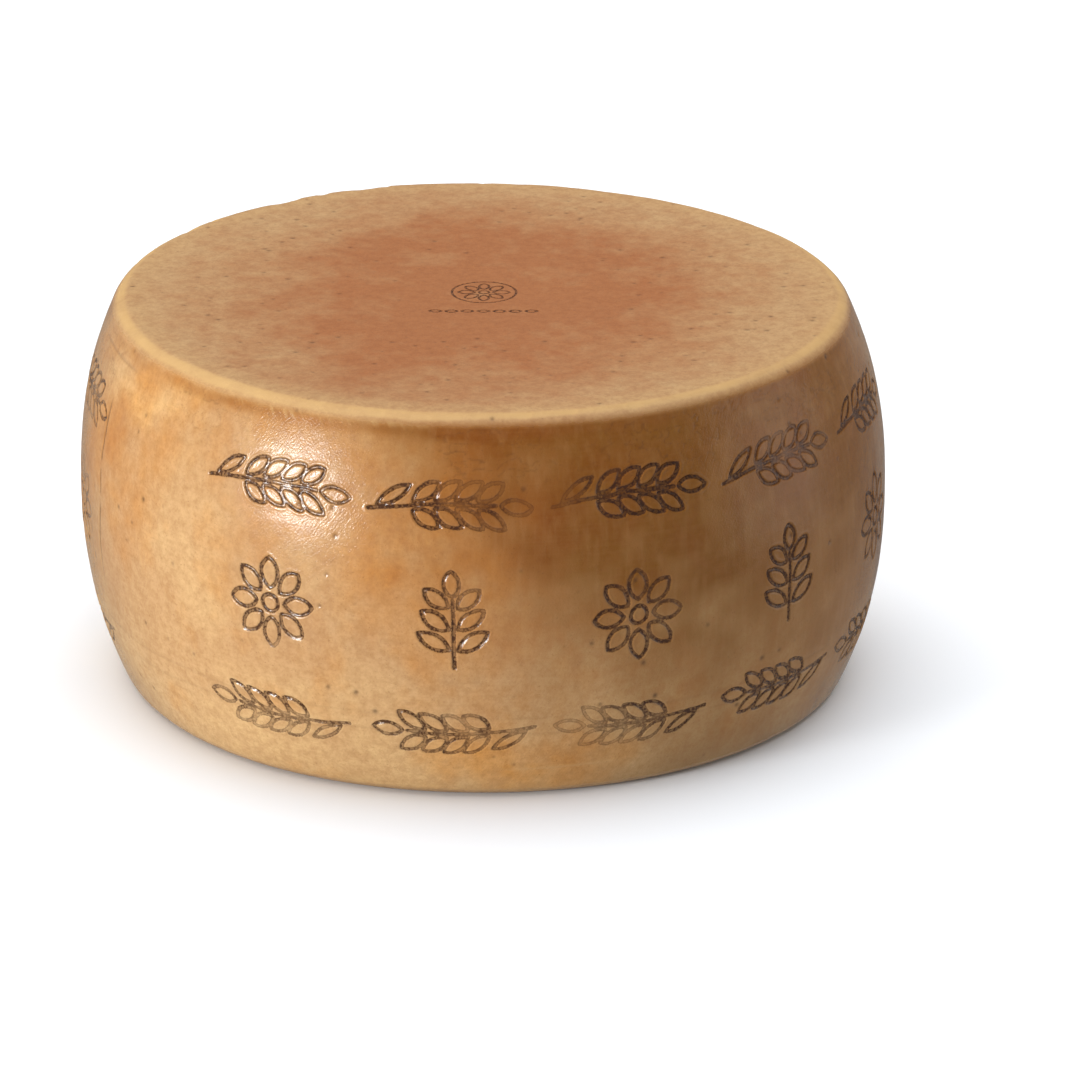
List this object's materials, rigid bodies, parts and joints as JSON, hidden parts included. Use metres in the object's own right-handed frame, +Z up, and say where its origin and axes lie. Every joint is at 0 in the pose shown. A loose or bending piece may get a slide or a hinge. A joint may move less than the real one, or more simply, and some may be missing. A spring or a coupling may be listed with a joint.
{
  "type": "parmesan wheel",
  "caption": "Whole drum-shaped wheel of long-aged hard cheese with bulging sides, rounded edges and two flat faces, lying on one face.",
  "frame": {"origin": "middle of the flat lower face that the wheel rests on", "axes": "+Z up along the wheel's axis, -Y towards the viewer of the picture, +X to the viewer's right"},
  "size_m": [0.4294, 0.4306, 0.2067],
  "materials": {
    "rind": "oiled and brushed cheese rind, satin, golden brown with darker stamped lines"
  },
  "bodies": {
    "root": {"cheese_wheel": "rind"}
  },
  "joints": []
}
